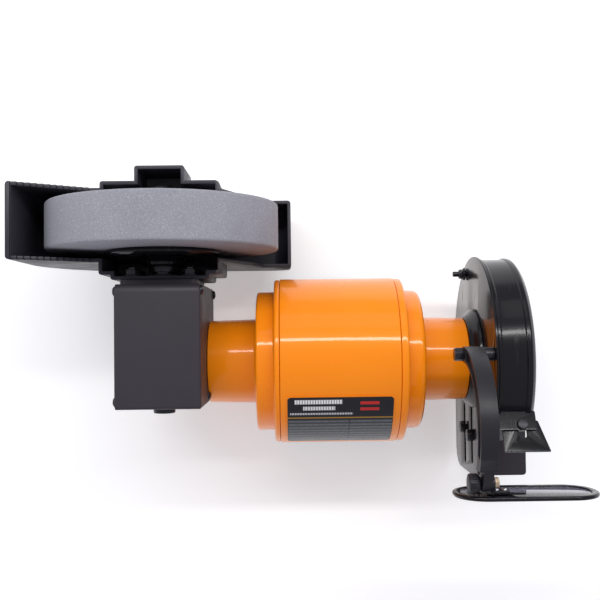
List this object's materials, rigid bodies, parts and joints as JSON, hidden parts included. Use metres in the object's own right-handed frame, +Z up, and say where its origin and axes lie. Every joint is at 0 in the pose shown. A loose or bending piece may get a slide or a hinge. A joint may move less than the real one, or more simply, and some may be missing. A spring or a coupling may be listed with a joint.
{
  "type": "combined wet and dry bench grinder",
  "caption": "Combined bench grinder: an orange motor turns a fast dry wheel in a guard with rest and eye shield, and through a worm drive a slow wet wheel in a water trough.",
  "frame": {"origin": "bottom centre of the grinder's box, on the ground under its feet", "axes": "+X along the motor's axis towards the dry wheel, +Y to the rear, away from the user, +Z up"},
  "size_m": [0.47, 0.2776, 0.2455],
  "materials": {
    "orange_enamel": "glossy",
    "black_paint": "glossy",
    "satin_black": "satin",
    "black_plastic": "matte",
    "black_rubber": "matte",
    "wet_stone": "fine grit",
    "dry_stone": "coarse grit",
    "steel": "turned",
    "black_oxide": "blackened",
    "lamination": "satin",
    "copper": "varnished",
    "bronze": "machined",
    "label": "printed",
    "clear_plastic": "clear"
  },
  "bodies": {
    "stand": {"base_housing": "satin_black", "base_plate": "satin_black", "rubber_foot_front_left": "black_rubber", "rubber_foot_front_right": "black_rubber", "rubber_foot_rear_left": "black_rubber", "rubber_foot_rear_right": "black_rubber", "switch_bezel": "black_plastic", "cable_gland": "black_rubber", "capacitor": "lamination", "motor_shell": "orange_enamel", "left_end_bell": "orange_enamel", "right_end_bell": "orange_enamel", "stator_core": "lamination", "stator_winding": "copper", "left_motor_bearing": "steel", "right_motor_bearing": "steel", "label_plate": "label", "gearbox_housing": "satin_black", "gearbox_left_cover": "satin_black", "gearbox_side_plate": "satin_black", "front_bearing_cap": "black_oxide", "output_flange": "satin_black", "gearbox_screw_1": "black_oxide", "gearbox_screw_2": "black_oxide", "gearbox_screw_3": "black_oxide", "gearbox_screw_4": "black_oxide", "wet_trough": "black_plastic", "trough_bolt_1": "black_oxide", "trough_bolt_2": "black_oxide", "guard_back_plate": "black_paint", "guard_cover": "black_paint", "guard_bolt_1": "black_oxide", "guard_bolt_2": "black_oxide", "guard_hub": "black_paint", "spark_arrestor_screw": "black_oxide", "shield_pivot_bolt": "black_oxide", "shield_sleeve": "black_oxide"},
    "motor_rotor": {"motor_shaft": "steel", "rotor": "lamination", "worm": "steel", "dry_inner_flange": "steel", "dry_wheel": "dry_stone", "dry_outer_flange": "steel", "dry_wheel_nut": "black_oxide"},
    "wet_spindle": {"wet_shaft": "steel", "worm_wheel": "bronze", "wet_inner_flange": "black_paint", "wet_wheel": "wet_stone", "wet_outer_flange": "black_paint", "wet_wheel_nut": "black_oxide"},
    "tool_rest": {"tool_rest": "satin_black", "tool_rest_bolt_1": "black_oxide", "tool_rest_bolt_2": "black_oxide"},
    "spark_arrestor": {"spark_arrestor": "black_paint"},
    "shield_arm": {"shield_arm": "black_plastic"},
    "shield": {"shield_bracket": "black_oxide", "shield_frame": "black_paint", "shield_lens": "clear_plastic"},
    "shield_knob": {"shield_knob": "black_plastic"},
    "switch_rocker": {"switch_rocker": "black_plastic"}
  },
  "joints": [
    {"name": "motor_spin", "type": "hinge", "parent": "stand", "child": "motor_rotor", "pos_m": [0.015, -0.0298, 0.1], "axis": [1, 0, 0], "continuous": true},
    {"name": "wet_spin", "type": "hinge", "parent": "stand", "child": "wet_spindle", "pos_m": [-0.1173, -0.0298, 0.138], "axis": [0, 1, 0], "continuous": true},
    {"name": "shield_arm_pivot", "type": "hinge", "parent": "stand", "child": "shield_arm", "pos_m": [0.141, -0.0238, 0.182], "axis": [-1, 0, 0], "range_deg": [-5, 60]},
    {"name": "shield_tilt", "type": "hinge", "parent": "shield_arm", "child": "shield", "pos_m": [0.141, -0.1218, 0.224], "axis": [1, 0, 0], "range_deg": [-40, 20]},
    {"name": "shield_knob_turn", "type": "hinge", "parent": "shield", "child": "shield_knob", "pos_m": [0.133, -0.1218, 0.224], "axis": [1, 0, 0], "continuous": true},
    {"name": "tool_rest_slide", "type": "slide", "parent": "stand", "child": "tool_rest", "axis": [0, -1, 0], "range_m": [-0.001, 0.012]},
    {"name": "spark_arrestor_slide", "type": "slide", "parent": "stand", "child": "spark_arrestor", "axis": [0, 0.9205, -0.3907], "range_m": [0, 0.0035]},
    {"name": "switch_rock", "type": "hinge", "parent": "stand", "child": "switch_rocker", "pos_m": [0.039, -0.1018, 0.019], "axis": [-1, 0, 0], "range_deg": [0, 20]}
  ],
  "couplings": [
    {"joint": "wet_spin", "follows": "motor_spin", "ratio": 0.045455}
  ]
}
